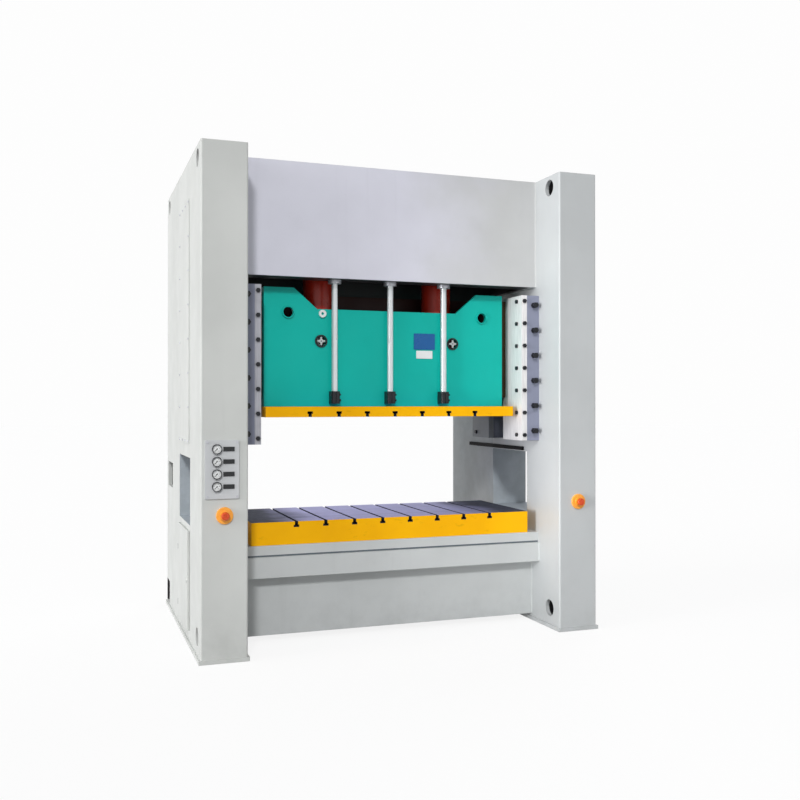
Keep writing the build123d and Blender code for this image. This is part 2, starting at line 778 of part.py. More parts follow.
# Split clamps that tie the rods to the slide front
clamp_depth = rod_front_gap + 2 * rod_radius + clamp_front
clamp_front_y = slide_front_y - clamp_depth
clamp_bolt_y = clamp_front_y + clamp_front / 2
clamp_bolt_zs = [clamp_bottom + clamp_height * share for share in clamp_bolt_level_shares]
with BuildPart() as left_rod_clamp:
    with Locations((-rod_spacing, clamp_front_y + clamp_depth / 2, clamp_bottom)):
        Box(clamp_width, clamp_depth, clamp_height, align=upright)
    chamfer(left_rod_clamp.faces().sort_by(Axis.Y)[0].edges().filter_by(Axis.Z), clamp_edge)
    with Locations((-rod_spacing, rod_y, clamp_bottom - cut_over)):
        Cylinder(rod_radius, clamp_height + 2 * cut_over, align=upright, mode=Mode.SUBTRACT)
    with Locations((-rod_spacing, clamp_front_y - cut_over, clamp_bottom - cut_over)):
        Box(
            clamp_slit,
            clamp_front + rod_radius + cut_over,
            clamp_height + 2 * cut_over,
            align=(Align.CENTER, Align.MIN, Align.MIN),
            mode=Mode.SUBTRACT,
        )
    with BuildSketch(Plane.YZ.offset(-rod_spacing - clamp_width / 2 - cut_over)):
        with Locations(*[(clamp_bolt_y, z) for z in clamp_bolt_zs]):
            Circle(clamp_bolt_radius + bolt_gap)
    extrude(amount=clamp_width + 2 * cut_over, mode=Mode.SUBTRACT)
left_rod_clamp.part.label = "left_rod_clamp"
export_step(left_rod_clamp.part, "parts/left_rod_clamp.step")

with BuildPart() as middle_rod_clamp:
    with Locations((rod_spacing, 0, 0)):
        add(left_rod_clamp.part)
middle_rod_clamp.part.label = "middle_rod_clamp"
export_step(middle_rod_clamp.part, "parts/middle_rod_clamp.step")

with BuildPart() as right_rod_clamp:
    mirror(left_rod_clamp.part, about=Plane.YZ)
right_rod_clamp.part.label = "right_rod_clamp"
export_step(right_rod_clamp.part, "parts/right_rod_clamp.step")

# Bolts that draw the clamps together, a head on one side and a nut on the other
with BuildPart() as clamp_bolts:
    for rod_x in rod_xs:
        with BuildSketch(Plane.YZ.offset(rod_x + clamp_width / 2)):
            with Locations(*[(clamp_bolt_y, z) for z in clamp_bolt_zs]):
                RegularPolygon(clamp_bolt_flats / 2, 6, major_radius=False)
        extrude(amount=clamp_bolt_head)
        with BuildSketch(Plane.YZ.offset(rod_x - clamp_width / 2)):
            with Locations(*[(clamp_bolt_y, z) for z in clamp_bolt_zs]):
                RegularPolygon(clamp_bolt_flats / 2, 6, major_radius=False)
        extrude(amount=-clamp_bolt_head)
        with BuildSketch(Plane.YZ.offset(rod_x - clamp_width / 2)):
            with Locations(*[(clamp_bolt_y, z) for z in clamp_bolt_zs]):
                Circle(clamp_bolt_radius)
        extrude(amount=clamp_width)
clamp_bolts.part.label = "clamp_bolts"
export_step(clamp_bolts.part, "parts/clamp_bolts.step")

# Collars around the upper slide holes and spoked covers in the lower ones
upper_hole_x = slide_half * upper_hole_share
upper_hole_z = slide_top - upper_hole_drop
lower_hole_x = slide_half * lower_hole_share
lower_hole_z = slide_top - lower_hole_drop
with BuildPart() as hole_collars:
    with BuildSketch(Plane.XZ.offset(-slide_front_y)):
        with Locations((-upper_hole_x, upper_hole_z), (upper_hole_x, upper_hole_z)):
            Circle(collar_radius)
            Circle(upper_hole_radius, mode=Mode.SUBTRACT)
    extrude(amount=collar_height)
hole_collars.part.label = "hole_collars"
export_step(hole_collars.part, "parts/hole_collars.step")

with BuildPart() as spoked_covers:
    with BuildSketch(Plane.XZ.offset(-slide_front_y)):
        with Locations((-lower_hole_x, lower_hole_z), (lower_hole_x, lower_hole_z)):
            Circle(lower_hole_radius + cover_rim)
            Circle(lower_hole_radius, mode=Mode.SUBTRACT)
            Rectangle(2 * lower_hole_radius + cover_rim, cover_bar)
            Rectangle(cover_bar, 2 * lower_hole_radius + cover_rim)
            Circle(cover_hub_radius)
    extrude(amount=cover_height)
spoked_covers.part.label = "spoked_covers"
export_step(spoked_covers.part, "parts/spoked_covers.step")

# Grease fitting and two bare plates on the slide front
with BuildPart() as slide_fitting:
    with BuildSketch(Plane.XZ.offset(-slide_front_y)):
        with Locations((-slide_half * fitting_share, slide_top - fitting_drop)):
            Circle(fitting_radius)
            Circle(fitting_bore, mode=Mode.SUBTRACT)
    extrude(amount=fitting_height)
slide_fitting.part.label = "slide_fitting"
export_step(slide_fitting.part, "parts/slide_fitting.step")

face_plate_x = slide_half * blue_plate_share
with BuildPart() as upper_face_plate:
    with BuildSketch(Plane.XZ.offset(-slide_front_y)):
        with Locations((face_plate_x, slide_top - blue_plate_drop)):
            RectangleRounded(blue_plate_width, blue_plate_tall, face_plate_height)
    extrude(amount=face_plate_height)
upper_face_plate.part.label = "upper_face_plate"
export_step(upper_face_plate.part, "parts/upper_face_plate.step")

with BuildPart() as lower_face_plate:
    with BuildSketch(Plane.XZ.offset(-slide_front_y)):
        with Locations((face_plate_x, slide_top - white_plate_drop)):
            RectangleRounded(white_plate_width, white_plate_tall, face_plate_height)
    extrude(amount=face_plate_height)
lower_face_plate.part.label = "lower_face_plate"
export_step(lower_face_plate.part, "parts/lower_face_plate.step")

# Side doors below the windows, with knuckles at the rear edge and a flat knob at the front
door_tall = window_bottom - door_foot_gap - door_head_gap
door_front_y = gap_front_y + door_margin
door_rear_y = gap_rear_y - door_margin
door_inner_x = outer_half + door_stand_off
hinge_x = door_inner_x + door_thickness - knuckle_radius
hinge_y = door_rear_y + hinge_offset
hinge_zs = (door_foot_gap + hinge_inset, door_foot_gap + door_tall - hinge_inset - knuckle_height)
with BuildPart() as right_door:
    with Locations((door_inner_x, door_front_y, door_foot_gap)):
        Box(door_thickness, door_rear_y - door_front_y, door_tall, align=corner)
    with Locations(*[(hinge_x, door_rear_y, z) for z in hinge_zs]):
        Box(hinge_web, hinge_offset, knuckle_height, align=(Align.CENTER, Align.MIN, Align.MIN))
    with Locations(*[(hinge_x, hinge_y, z) for z in hinge_zs]):
        Cylinder(knuckle_radius, knuckle_height, align=upright)
    with Locations(*[(hinge_x, hinge_y, z - cut_over) for z in hinge_zs]):
        Cylinder(
            hinge_pin_radius + hinge_pin_fit,
            knuckle_height + 2 * cut_over,
            align=upright,
            mode=Mode.SUBTRACT,
        )
    with BuildSketch(Plane.YZ.offset(door_inner_x + door_thickness)):
        with Locations((door_front_y + knob_inset, door_foot_gap + door_tall / 2)):
            Circle(knob_radius)
    extrude(amount=knob_height)
right_door.part.label = "right_door"
export_step(right_door.part, "parts/right_door.step")

with BuildPart() as left_door:
    mirror(right_door.part, about=Plane.YZ)
left_door.part.label = "left_door"
export_step(left_door.part, "parts/left_door.step")

# Hinge posts on the uprights: leaf, lower knuckle and pin in one piece
with BuildPart() as right_hinge_posts:
    with Locations(*[(hinge_x, hinge_y, z - knuckle_height - hinge_play) for z in hinge_zs]):
        Cylinder(knuckle_radius, knuckle_height, align=upright)
        Cylinder(hinge_pin_radius, 2 * knuckle_height + hinge_play, align=upright)
    with Locations(*[(outer_half, hinge_y, z - knuckle_height - hinge_play) for z in hinge_zs]):
        Box(hinge_x - outer_half, hinge_web, knuckle_height, align=(Align.MIN, Align.CENTER, Align.MIN))
        Box(hinge_web, hinge_leaf_length, knuckle_height, align=corner)
right_hinge_posts.part.label = "right_hinge_posts"
export_step(right_hinge_posts.part, "parts/right_hinge_posts.step")

with BuildPart() as left_hinge_posts:
    mirror(right_hinge_posts.part, about=Plane.YZ)
left_hinge_posts.part.label = "left_hinge_posts"
export_step(left_hinge_posts.part, "parts/left_hinge_posts.step")

# Side covers above the windows and drip lips inside, over the windows
cover_bottom = window_top + cover_foot_gap
cover_tall = overall_height - cover_head_gap - cover_bottom
with BuildPart() as side_covers:
    with Locations((outer_half, gap_y, cover_bottom)):
        Box(
            cover_thickness,
            side_gap_depth - 2 * cover_margin,
            cover_tall,
            align=(Align.MIN, Align.CENTER, Align.MIN),
        )
    mirror(about=Plane.YZ)
side_covers.part.label = "side_covers"
export_step(side_covers.part, "parts/side_covers.step")

with BuildPart() as drip_lips:
    with Locations((inner_half, front_y + lip_start_back, guide_bottom - lip_below_guide)):
        Box(lip_reach, lip_length, lip_height, align=(Align.MAX, Align.MIN, Align.MAX))
    mirror(about=Plane.YZ)
drip_lips.part.label = "drip_lips"
export_step(drip_lips.part, "parts/drip_lips.step")

# Gauge panel on the left front post
panel_x = -upright_x - panel_side_shift
panel_z = panel_up + panel_tall / 2
panel_front_y = front_y - panel_height
gauge_x = panel_x - gauge_shift
gauge_zs = [gauge_first_up + i * gauge_pitch for i in range(gauge_count)]
with BuildPart() as gauge_panel:
    with BuildSketch(Plane.XZ.offset(-front_y)):
        with Locations((panel_x, panel_z)):
            RectangleRounded(panel_width, panel_tall, panel_radius)
    extrude(amount=panel_height)
gauge_panel.part.label = "gauge_panel"
export_step(gauge_panel.part, "parts/gauge_panel.step")

with BuildPart() as gauge_cases:
    with BuildSketch(Plane.XZ.offset(-panel_front_y)):
        with Locations(*[(gauge_x, z) for z in gauge_zs]):
            Circle(gauge_radius)
    extrude(amount=gauge_case_height)
    with BuildSketch(Plane.XZ.offset(gauge_back - panel_front_y)):
        with Locations(*[(gauge_x, z) for z in gauge_zs]):
            Circle(gauge_radius - gauge_rim)
    extrude(amount=gauge_case_height, mode=Mode.SUBTRACT)
gauge_cases.part.label = "gauge_cases"
export_step(gauge_cases.part, "parts/gauge_cases.step")

dial_y = panel_front_y - gauge_back
with BuildPart() as gauge_dials:
    with BuildSketch(Plane.XZ.offset(-dial_y)):
        with Locations(*[(gauge_x, z) for z in gauge_zs]):
            Circle(gauge_radius - gauge_rim - dial_gap)
            Circle(pointer_pin_radius + running_fit, mode=Mode.SUBTRACT)
    extrude(amount=dial_height)
gauge_dials.part.label = "gauge_dials"
export_step(gauge_dials.part, "parts/gauge_dials.step")

with BuildPart() as gauge_lenses:
    with BuildSketch(Plane.XZ.offset(gauge_case_height - lens_sink - lens_height - panel_front_y)):
        with Locations(*[(gauge_x, z) for z in gauge_zs]):
            Circle(gauge_radius - gauge_rim)
    extrude(amount=lens_height)
gauge_lenses.part.label = "gauge_lenses"
export_step(gauge_lenses.part, "parts/gauge_lenses.step")

# Gauge pointers, one for each dial, at rest on the zero stop
pointer_y = dial_y - dial_height - pointer_lift
for number, z in enumerate(gauge_zs):
    with BuildPart() as gauge_pointer:
        with BuildSketch(Plane.XZ.offset(-pointer_y)):
            with Locations(Location((gauge_x, z, 0), (0, 0, pointer_start_angle))):
                Rectangle(pointer_length, pointer_width, align=(Align.MIN, Align.CENTER))
                Rectangle(pointer_tail, pointer_width, align=(Align.MAX, Align.CENTER))
                Circle(pointer_hub_radius)
        extrude(amount=pointer_height)
        with BuildSketch(Plane.XZ.offset(-pointer_y)):
            with Locations((gauge_x, z)):
                Circle(pointer_pin_radius)
        extrude(amount=-(pointer_lift + pointer_pin_length))
    gauge_pointer.part.label = f"gauge_pointer_{number + 1}"
    export_step(gauge_pointer.part, f"parts/gauge_pointer_{number + 1}.step")

# Bare label blocks beside the gauges and screws at the panel corners
with BuildPart() as gauge_labels:
    with BuildSketch(Plane.XZ.offset(-panel_front_y)):
        with Locations(*[(panel_x + label_shift, z) for z in gauge_zs]):
            Rectangle(label_width, label_tall)
    extrude(amount=label_height)
gauge_labels.part.label = "gauge_labels"
export_step(gauge_labels.part, "parts/gauge_labels.step")

with BuildPart() as panel_screws:
    screw_span_x = panel_width - 2 * panel_screw_inset
    screw_span_z = panel_tall - 2 * panel_screw_inset
    with BuildSketch(Plane.XZ.offset(-panel_front_y)):
        with Locations((panel_x, panel_z)):
            with GridLocations(screw_span_x, screw_span_z, 2, 2):
                Circle(panel_screw_radius)
    extrude(amount=panel_screw_height)
panel_screws.part.label = "panel_screws"
export_step(panel_screws.part, "parts/panel_screws.step")

# Emergency stops: base with a neck, and a mushroom button on a stem
neck_y = front_y - stop_base_height - stop_neck_height
cap_y = neck_y - stop_cap_gap
with BuildPart() as right_stop_base:
    with BuildSketch(Plane.XZ.offset(-front_y)):
        with Locations((upright_x, stop_up)):
            Circle(stop_base_radius)
    extrude(amount=stop_base_height)
    fillet(right_stop_base.faces().sort_by(Axis.Y)[0].edges(), stop_base_round)
    with BuildSketch(Plane.XZ.offset(-front_y)):
        with Locations((upright_x, stop_up)):
            Circle(stop_neck_radius)
    extrude(amount=stop_base_height + stop_neck_height)
    with BuildSketch(Plane.XZ.offset(stop_base_height + stop_neck_height + cut_over - front_y)):
        with Locations((upright_x, stop_up)):
            Circle(stop_stem_radius + stop_stem_fit)
    extrude(amount=-(stop_stem_length + cut_over), mode=Mode.SUBTRACT)
right_stop_base.part.label = "right_stop_base"
export_step(right_stop_base.part, "parts/right_stop_base.step")

with BuildPart() as left_stop_base:
    mirror(right_stop_base.part, about=Plane.YZ)
left_stop_base.part.label = "left_stop_base"
export_step(left_stop_base.part, "parts/left_stop_base.step")

stem_overlap = stop_stem_length - stop_cap_gap
with BuildPart() as right_stop_button:
    with BuildSketch(Plane.XZ.offset(-cap_y)):
        with Locations((upright_x, stop_up)):
            Circle(stop_cap_radius)
    extrude(amount=stop_cap_height)
    fillet(right_stop_button.faces().sort_by(Axis.Y)[0].edges(), stop_cap_round)
    with BuildSketch(Plane.XZ.offset(-cap_y)):
        with Locations((upright_x, stop_up)):
            Circle(stop_stem_radius)
    extrude(amount=-(stop_cap_gap + stem_overlap))
right_stop_button.part.label = "right_stop_button"
export_step(right_stop_button.part, "parts/right_stop_button.step")

with BuildPart() as left_stop_button:
    mirror(right_stop_button.part, about=Plane.YZ)
left_stop_button.part.label = "left_stop_button"
export_step(left_stop_button.part, "parts/left_stop_button.step")
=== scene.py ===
import math

import bmesh
import bpy
from mathutils import Matrix, Vector


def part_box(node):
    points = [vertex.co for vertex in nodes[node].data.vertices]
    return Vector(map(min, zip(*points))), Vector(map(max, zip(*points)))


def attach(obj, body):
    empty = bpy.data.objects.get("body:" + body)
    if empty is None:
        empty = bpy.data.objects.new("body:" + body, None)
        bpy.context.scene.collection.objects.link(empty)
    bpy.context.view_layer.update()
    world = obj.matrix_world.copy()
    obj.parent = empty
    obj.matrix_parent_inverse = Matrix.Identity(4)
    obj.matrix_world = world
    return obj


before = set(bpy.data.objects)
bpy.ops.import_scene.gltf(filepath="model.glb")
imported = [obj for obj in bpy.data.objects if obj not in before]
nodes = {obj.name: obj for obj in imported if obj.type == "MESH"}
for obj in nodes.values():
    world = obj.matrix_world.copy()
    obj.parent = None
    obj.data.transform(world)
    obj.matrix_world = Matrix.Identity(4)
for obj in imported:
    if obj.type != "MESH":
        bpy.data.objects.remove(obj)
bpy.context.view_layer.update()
scene = bpy.context.scene
scene.view_settings.view_transform = "Standard"
SIDES = (("left", -1), ("right", 1))


# Materials: helpers

def srgb(red, green, blue):
    """An 8-bit screen colour as the linear colour that a shader takes."""
    def linear(value):
        share = value / 255
        return share / 12.92 if share <= 0.04045 else ((share + 0.055) / 1.055) ** 2.4
    return (linear(red), linear(green), linear(blue), 1.0)


def shade(colour, factor):
    return tuple(min(1.0, channel * factor) for channel in colour[:3]) + (1.0,)


class Look:
    """One node material, with its patterns in the object's own coordinates, in metres."""

    def __init__(self, name):
        self.material = bpy.data.materials.new(name)
        self.material.use_nodes = True
        self.tree = self.material.node_tree
        self.tree.nodes.clear()
        self.output = self.tree.nodes.new("ShaderNodeOutputMaterial")
        self.shader = self.tree.nodes.new("ShaderNodeBsdfPrincipled")
        self.tree.links.new(self.shader.outputs[0], self.output.inputs[0])
        self.coords = self.tree.nodes.new("ShaderNodeTexCoord")

    def put(self, value, socket):
        if isinstance(value, bpy.types.NodeSocket):
            self.tree.links.new(value, socket)
        else:
            socket.default_value = value

    def set(self, **values):
        for name, value in values.items():
            self.put(value, self.shader.inputs[name.replace("_", " ")])

    def noise(self, scale, detail=3.0, roughness=0.55, stretch=(1, 1, 1)):
        mapping = self.tree.nodes.new("ShaderNodeMapping")
        mapping.inputs["Scale"].default_value = stretch
        self.tree.links.new(self.coords.outputs["Object"], mapping.inputs["Vector"])
        node = self.tree.nodes.new("ShaderNodeTexNoise")
        node.inputs["Scale"].default_value = scale
        node.inputs["Detail"].default_value = detail
        node.inputs["Roughness"].default_value = roughness
        self.tree.links.new(mapping.outputs[0], node.inputs["Vector"])
        return node.outputs["Fac"]

    def fit(self, value, low, high, to_low=0.0, to_high=1.0):
        """The range from low to high, smoothly turned into the range from to_low to to_high."""
        node = self.tree.nodes.new("ShaderNodeMapRange")
        node.interpolation_type = "SMOOTHSTEP"
        self.put(value, node.inputs["Value"])
        node.inputs["From Min"].default_value = low
        node.inputs["From Max"].default_value = high
        node.inputs["To Min"].default_value = to_low
        node.inputs["To Max"].default_value = to_high
        return node.outputs[0]

    def spread(self, value, to_low=0.0, to_high=1.0):
        """The middle of a noise, where most of its values lie, turned into another range."""
        return self.fit(value, 0.3, 0.7, to_low, to_high)

    def math(self, operation, first, second=0.0):
        node = self.tree.nodes.new("ShaderNodeMath")
        node.operation = operation
        self.put(first, node.inputs[0])
        self.put(second, node.inputs[1])
        return node.outputs[0]

    def mix(self, share, first, second):
        """A colour between two colours."""
        node = self.tree.nodes.new("ShaderNodeMix")
        node.data_type = "RGBA"
        self.put(share, node.inputs[0])
        self.put(first, node.inputs[6])
        self.put(second, node.inputs[7])
        return node.outputs[2]

    def between(self, share, first, second):
        """A number between two numbers."""
        node = self.tree.nodes.new("ShaderNodeMix")
        self.put(share, node.inputs[0])
        self.put(first, node.inputs[2])
        self.put(second, node.inputs[3])
        return node.outputs[0]

    def axes(self, output="Object"):
        node = self.tree.nodes.new("ShaderNodeSeparateXYZ")
        self.tree.links.new(self.coords.outputs[output], node.inputs[0])
        return node.outputs

    def within(self, value, low, high):
        above = self.math("GREATER_THAN", value, low)
        return self.math("MULTIPLY", above, self.math("LESS_THAN", value, high))

    def squared(self, first, second):
        """The square of the distance that two offsets make."""
        return self.math("ADD", self.math("MULTIPLY", first, first), self.math("MULTIPLY", second, second))

    def inside(self, boxes, holes):
        """Mask that is 1 in boxes (ranges of |x|, y and z) and in round holes along X
        (range of |x|, y, z, radius)."""
        across, back, up = self.axes()
        across = self.math("ABSOLUTE", across)
        parts = []
        for xs, ys, zs in boxes:
            part = self.math("MULTIPLY", self.within(across, *xs), self.within(back, *ys))
            parts.append(self.math("MULTIPLY", part, self.within(up, *zs)))
        for xs, y, z, radius in holes:
            distance = self.squared(self.math("SUBTRACT", back, y), self.math("SUBTRACT", up, z))
            near = self.math("LESS_THAN", distance, radius * radius)
            parts.append(self.math("MULTIPLY", near, self.within(across, *xs)))
        mask = parts[0]
        for part in parts[1:]:
            mask = self.math("MAXIMUM", mask, part)
        return mask

    def rounded(self, radius):
        """(normal with the edges rounded, mask that is 1 on the edges)."""
        bevel = self.tree.nodes.new("ShaderNodeBevel")
        bevel.samples = 4
        bevel.inputs["Radius"].default_value = radius
        geometry = self.tree.nodes.new("ShaderNodeNewGeometry")
        dot = self.tree.nodes.new("ShaderNodeVectorMath")
        dot.operation = "DOT_PRODUCT"
        self.tree.links.new(bevel.outputs[0], dot.inputs[0])
        self.tree.links.new(geometry.outputs["Normal"], dot.inputs[1])
        return bevel.outputs[0], self.fit(dot.outputs["Value"], 0.80, 0.995, 1.0, 0.0)

    def bump(self, height, distance, strength, normal=None):
        node = self.tree.nodes.new("ShaderNodeBump")
        node.inputs["Distance"].default_value = distance
        node.inputs["Strength"].default_value = strength
        self.put(height, node.inputs["Height"])
        if normal is not None:
            self.put(normal, node.inputs["Normal"])
        return node.outputs[0]


# Materials: finishes

def paint(
    name, colour, rough=0.42, soil=0.35, floor_soil=0.0, edge_radius=0.004, shine=0.4, linings=(), drift=None,
):
    """Sprayed enamel on steel: uneven tone, faint runs, orange peel, worn edges and floor dirt.
    Each lining is (colour, boxes, holes): the surfaces in these take another colour with a patchy tone; on the
    press the linings are mostly painted shade in hollows, reveals and creases.
    A drift is (colour, low, high): the enamel turns to that colour from low to high along X; on the press it
    paints a side darker, as shade."""
    look = Look(name)
    grime = shade(colour, 0.55)
    pale, strong = 0.955, 1.035
    tone = look.fit(look.noise(1.4, 4), 0.32, 0.68)
    base = look.mix(tone, shade(colour, pale), shade(colour, strong))
    # A drift turns the colour along X, as painted shade.
    if drift:
        other, low, high = drift
        across = look.math("ADD", look.axes()[0], look.spread(look.noise(2.2, 3), -0.15, 0.15))
        other_base = look.mix(tone, shade(other, pale), shade(other, strong))
        base = look.mix(look.fit(across, low, high), base, other_base)
    cloud = look.fit(look.noise(6.5, 5), 0.56, 0.80, 0.0, 0.16 * soil)
    base = look.mix(cloud, base, grime)
    runs = look.fit(look.noise(11, 4, 0.6, (1, 1, 0.05)), 0.56, 0.82, 0.0, 0.30 * soil)
    base = look.mix(runs, base, grime)
    specks = look.fit(look.noise(95, 2), 0.70, 0.76, 0.0, 0.35 * soil)
    base = look.mix(specks, base, shade(colour, 0.45))
    if floor_soil:
        soil_height = 0.45
        near_floor = look.fit(look.axes()[2], 0.0, soil_height, 1.0, 0.0)
        patchy = look.fit(look.noise(7, 5, 0.65), 0.35, 0.75, 0.15, 1.0)
        splashed = look.math("MULTIPLY", near_floor, look.math("MULTIPLY", patchy, floor_soil))
        base = look.mix(splashed, base, grime)
    normal, edge = look.rounded(edge_radius)
    worn = look.math("MULTIPLY", edge, look.fit(look.noise(34, 4, 0.7), 0.46, 0.62, 0.10, 0.75))
    base = look.mix(look.math("MULTIPLY", worn, 0.45), base, shade(colour, 0.62))
    # Painted shade with a patchy tone in the boxes and holes of each lining.
    for lining_shade, boxes, holes in linings:
        patchy_shade = look.mix(look.fit(look.noise(9, 4), 0.35, 0.7), shade(lining_shade, 0.92), shade(lining_shade, 1.08))
        base = look.mix(look.inside(boxes, holes), base, patchy_shade)
    gloss = look.spread(look.noise(4.5, 4), rough - 0.06, rough + 0.08)
    peel = look.bump(look.noise(190, 2), 0.0006, 0.16, normal)
    wavy = look.bump(look.noise(2.6, 2), 0.004, 0.10, peel)
    look.set(Base_Color=base, Roughness=gloss, Normal=wavy, Specular_IOR_Level=shine)
    return look.material


def steel(name, colour, rough=0.34, grain=(1, 1, 1), metal=0.9, oil=0.3):
    """Machined steel: fine tool marks along one direction, dull oily patches, polished edges."""
    look = Look(name)
    marks = look.noise(260, 3, 0.6, grain)
    base = look.mix(look.spread(marks), shade(colour, 0.86), shade(colour, 1.10))
    base = look.mix(look.fit(look.noise(5, 4), 0.5, 0.75, 0.0, oil), base, shade(colour, 0.55))
    normal, edge = look.rounded(0.002)
    base = look.mix(look.math("MULTIPLY", edge, 0.5), base, shade(colour, 1.3))
    gloss = look.spread(marks, rough - 0.07, rough + 0.09)
    ground = look.bump(marks, 0.0003, 0.20, normal)
    look.set(Base_Color=base, Roughness=gloss, Metallic=metal, Normal=ground)
    return look.material


def chrome(name, colour):
    """Hard chrome on a ground rod: an even bright coat, faint rings from grinding and a thin smear of oil."""
    look = Look(name)
    rings = look.noise(120, 2, 0.5, (0.05, 0.05, 1))
    smear = look.noise(9, 2, 0.5, (1, 1, 0.15))
    base = look.mix(look.spread(rings), shade(colour, 0.985), shade(colour, 1.015))
    base = look.mix(look.fit(smear, 0.5, 0.75, 0.0, 0.10), base, shade(colour, 0.75))
    gloss = look.spread(smear, 0.27, 0.31)
    look.set(Base_Color=base, Roughness=gloss, Metallic=0.4, Normal=look.bump(rings, 0.0001, 0.03))
    return look.material


def table(name, yellow, colour, slots):
    """A T-slot plate: yellow enamel on its outer sides, machined steel on its faces, painted shade at its ends
    and old oil with painted shade in its slots.
    Each of slots is the range of heights that a plate's slots take up."""
    look = Look(name)
    along = look.axes()
    facing = look.axes("Normal")
    end_x = 0.885   # a side that faces along X is an end of the plate past this, and a slot's wall before it
    side = look.math("GREATER_THAN", look.math("ABSOLUTE", facing[1]), 0.5)
    far = look.math("GREATER_THAN", look.math("ABSOLUTE", along[0]), end_x)
    end = look.math("MULTIPLY", look.math("GREATER_THAN", look.math("ABSOLUTE", facing[0]), 0.5), far)
    painted = look.math("MAXIMUM", side, end)
    # Bare steel, with the marks and the passes of the planer along X.
    marks = look.noise(240, 3, 0.6, (0.03, 1, 1))
    passes = look.noise(16, 2, 0.5, (0.02, 1, 1))
    broad = look.noise(3.2, 4)
    metal = look.mix(look.spread(marks), shade(colour, 0.84), shade(colour, 1.12))
    metal = look.mix(look.fit(passes, 0.4, 0.65, 0.0, 0.30), metal, shade(colour, 0.70))
    metal = look.mix(look.fit(broad, 0.52, 0.72, 0.0, 0.30), metal, shade(colour, 0.55))
    # The ends of the plate are darkened as painted shade, and its slots are dark with old oil and painted
    # shade; its middle shows the bare steel.
    shade_from, shade_to = 0.66, 1.00
    reach = look.math("ADD", look.math("ABSOLUTE", along[0]), look.math("MULTIPLY", broad, 0.30))
    oil_and_shade = look.fit(reach, shade_from, shade_to, 0.0, 0.92)
    for low, high in slots:
        in_slot = look.math("MULTIPLY", look.within(along[2], low, high), 0.96)
        oil_and_shade = look.math("MAXIMUM", oil_and_shade, in_slot)
    old_oil_and_shade = look.mix(look.fit(look.noise(21, 4), 0.35, 0.65), srgb(24, 28, 31), srgb(46, 53, 57))
    metal = look.mix(oil_and_shade, metal, old_oil_and_shade)
    # Yellow enamel, scuffed, with its edges chipped to the steel.
    tone = look.fit(look.noise(2.2, 4), 0.32, 0.68)
    enamel = look.mix(tone, shade(yellow, 0.93), shade(yellow, 1.05))
    scuffs = look.fit(look.noise(24, 4, 0.7, (0.35, 1, 1)), 0.60, 0.72, 0.0, 0.30)
    enamel = look.mix(scuffs, enamel, shade(yellow, 0.50))
    normal, edge = look.rounded(0.003)
    chips = look.math("MULTIPLY", edge, look.fit(look.noise(48, 4, 0.7), 0.50, 0.60))
    enamel = look.mix(look.math("MULTIPLY", chips, 0.6), enamel, srgb(120, 118, 116))
    steel_gloss = look.math("ADD", look.spread(marks, 0.54, 0.66), look.math("MULTIPLY", oil_and_shade, 0.12))
    enamel_gloss = look.spread(look.noise(7, 3), 0.34, 0.46)
    bare = look.math(
        "MULTIPLY", look.math("SUBTRACT", 1.0, painted), look.math("SUBTRACT", 1.0, oil_and_shade),
    )
    look.set(
        Base_Color=look.mix(painted, metal, enamel),
        Roughness=look.between(painted, steel_gloss, enamel_gloss),
        Metallic=look.math("MULTIPLY", bare, 0.75),
        Specular_IOR_Level=0.12,
        Normal=look.bump(marks, 0.0003, 0.16, normal),
    )
    return look.material


def spoked(name, rim, hub, centre_x, centre_z, radius):
    """The spoked covers: black oxide, with hub and spokes of bright steel up to radius round each axis
    at (+-centre_x, centre_z), apart from the hub's centre."""
    look = Look(name)
    across, _, up = look.axes()
    beside = look.math("SUBTRACT", look.math("ABSOLUTE", across), centre_x)
    distance = look.math("SQRT", look.squared(beside, look.math("SUBTRACT", up, centre_z)))
    bright = look.within(distance, radius * 0.16, radius)
    marks = look.noise(300, 3, 0.6)
    dark = look.mix(look.spread(marks), shade(rim, 0.8), shade(rim, 1.25))
    light = look.mix(look.spread(marks), shade(hub, 0.86), shade(hub, 1.08))
    normal, edge = look.rounded(0.0015)
    base = look.mix(look.math("MULTIPLY", edge, 0.4), look.mix(bright, dark, light), shade(hub, 0.6))
    ground = look.bump(marks, 0.0003, 0.2, normal)
    look.set(Base_Color=base, Roughness=look.spread(marks, 0.32, 0.48), Metallic=0.3, Normal=ground)
    return look.material


def plastic(name, colour, rough=0.30):
    """Moulded plastic: fine spark texture, slight fading and handling marks."""
    look = Look(name)
    tone = look.fit(look.noise(28, 3), 0.35, 0.65)
    base = look.mix(tone, shade(colour, 0.92), shade(colour, 1.06))
    rubbed = look.fit(look.noise(110, 4, 0.7), 0.62, 0.74, 0.0, 0.30)
    base = look.mix(rubbed, base, shade(colour, 0.70))
    gloss = look.spread(look.noise(60, 3), rough - 0.06, rough + 0.10)
    normal = look.rounded(0.0012)[0]
    look.set(Base_Color=base, Roughness=gloss, Normal=look.bump(look.noise(1400, 1), 0.0002, 0.12, normal))
    return look.material


def glass(name):
    """A thin gauge glass: clear, with a sharp gloss and a faint smear."""
    look = Look(name)
    clear = look.tree.nodes.new("ShaderNodeBsdfTransparent")
    edge = look.tree.nodes.new("ShaderNodeFresnel")
    edge.inputs["IOR"].default_value = 1.35
    both = mix_shaders(look.tree, edge.outputs[0], clear, look.shader)
    look.tree.links.new(both.outputs[0], look.output.inputs[0])
    smear = look.fit(look.noise(75, 3), 0.4, 0.7, 0.03, 0.12)
    look.set(Base_Color=srgb(240, 246, 248), Roughness=smear)
    return look.material


def mix_shaders(tree, share, first, second):
    node = tree.nodes.new("ShaderNodeMixShader")
    if isinstance(share, float):
        node.inputs[0].default_value = share
    else:
        tree.links.new(share, node.inputs[0])
    tree.links.new(first.outputs[0], node.inputs[1])
    tree.links.new(second.outputs[0], node.inputs[2])
    return node
